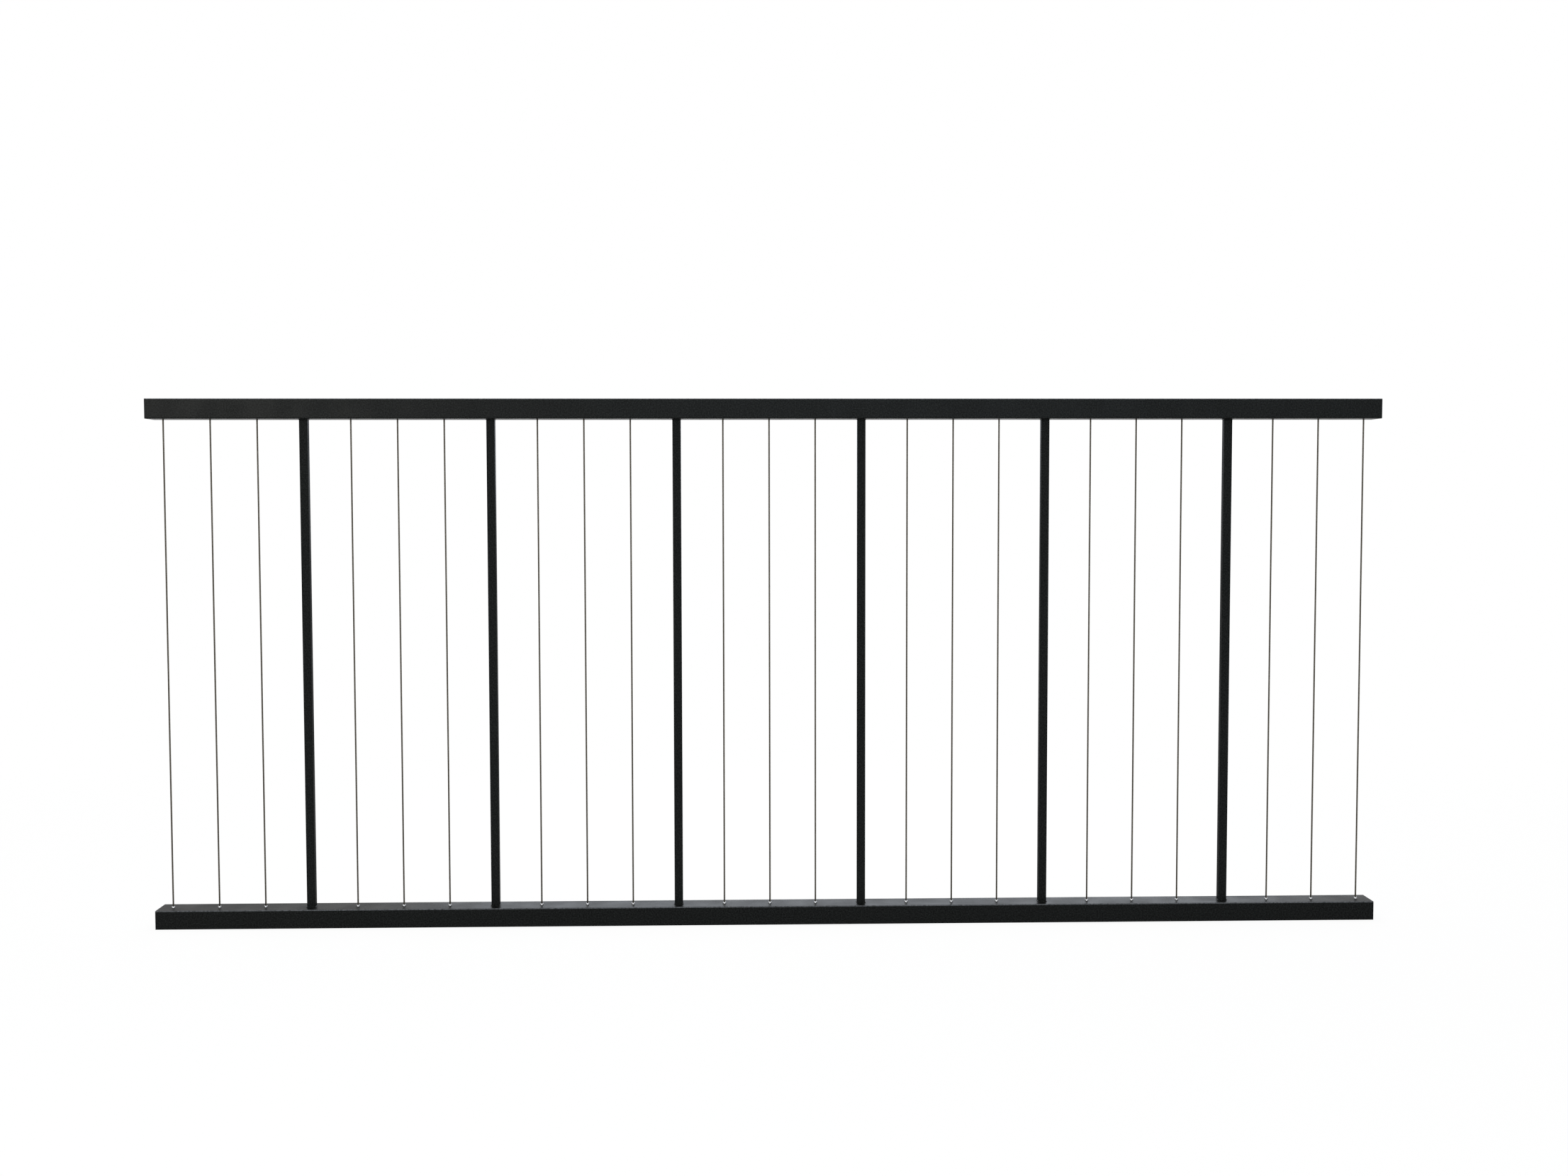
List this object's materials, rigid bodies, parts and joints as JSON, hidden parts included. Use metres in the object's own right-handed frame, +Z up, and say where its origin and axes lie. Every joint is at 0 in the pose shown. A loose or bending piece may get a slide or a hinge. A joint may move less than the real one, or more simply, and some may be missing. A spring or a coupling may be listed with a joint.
{
  "type": "deck railing section",
  "caption": "Straight deck railing panel of black steel: top and bottom rails joined by square pickets, with taut vertical stainless cables in the bays between them.",
  "frame": {"origin": "on the left end face of the bottom rail, in the middle of its depth and level with its underside", "axes": "+X along the rails, from the left end to the right; +Y through the rails, from the front to the back; +Z up"},
  "size_m": [2.3622, 0.0572, 1.016],
  "materials": {
    "powder_coat": "fine-textured black powder coat, semi-gloss",
    "cable_strand": "laid stainless strand, lightly dulled",
    "stainless_fitting": "bright turned stainless"
  },
  "bodies": {
    "root": {"top_rail": "powder_coat", "bottom_rail": "powder_coat", "picket_1": "powder_coat", "picket_2": "powder_coat", "picket_3": "powder_coat", "picket_4": "powder_coat", "picket_5": "powder_coat", "picket_6": "powder_coat", "cable_01": "cable_strand", "cable_02": "cable_strand", "cable_03": "cable_strand", "cable_04": "cable_strand", "cable_05": "cable_strand", "cable_06": "cable_strand", "cable_07": "cable_strand", "cable_08": "cable_strand", "cable_09": "cable_strand", "cable_10": "cable_strand", "cable_11": "cable_strand", "cable_12": "cable_strand", "cable_13": "cable_strand", "cable_14": "cable_strand", "cable_15": "cable_strand", "cable_16": "cable_strand", "cable_17": "cable_strand", "cable_18": "cable_strand", "cable_19": "cable_strand", "cable_20": "cable_strand", "cable_21": "cable_strand", "foot_studs_bay_1": "stainless_fitting", "tension_nuts_bay_1": "stainless_fitting", "foot_studs_bay_2": "stainless_fitting", "tension_nuts_bay_2": "stainless_fitting", "foot_studs_bay_3": "stainless_fitting", "tension_nuts_bay_3": "stainless_fitting", "foot_studs_bay_4": "stainless_fitting", "tension_nuts_bay_4": "stainless_fitting", "foot_studs_bay_5": "stainless_fitting", "tension_nuts_bay_5": "stainless_fitting", "foot_studs_bay_6": "stainless_fitting", "tension_nuts_bay_6": "stainless_fitting", "foot_studs_bay_7": "stainless_fitting", "tension_nuts_bay_7": "stainless_fitting", "cable_top_stops": "stainless_fitting"}
  },
  "joints": []
}
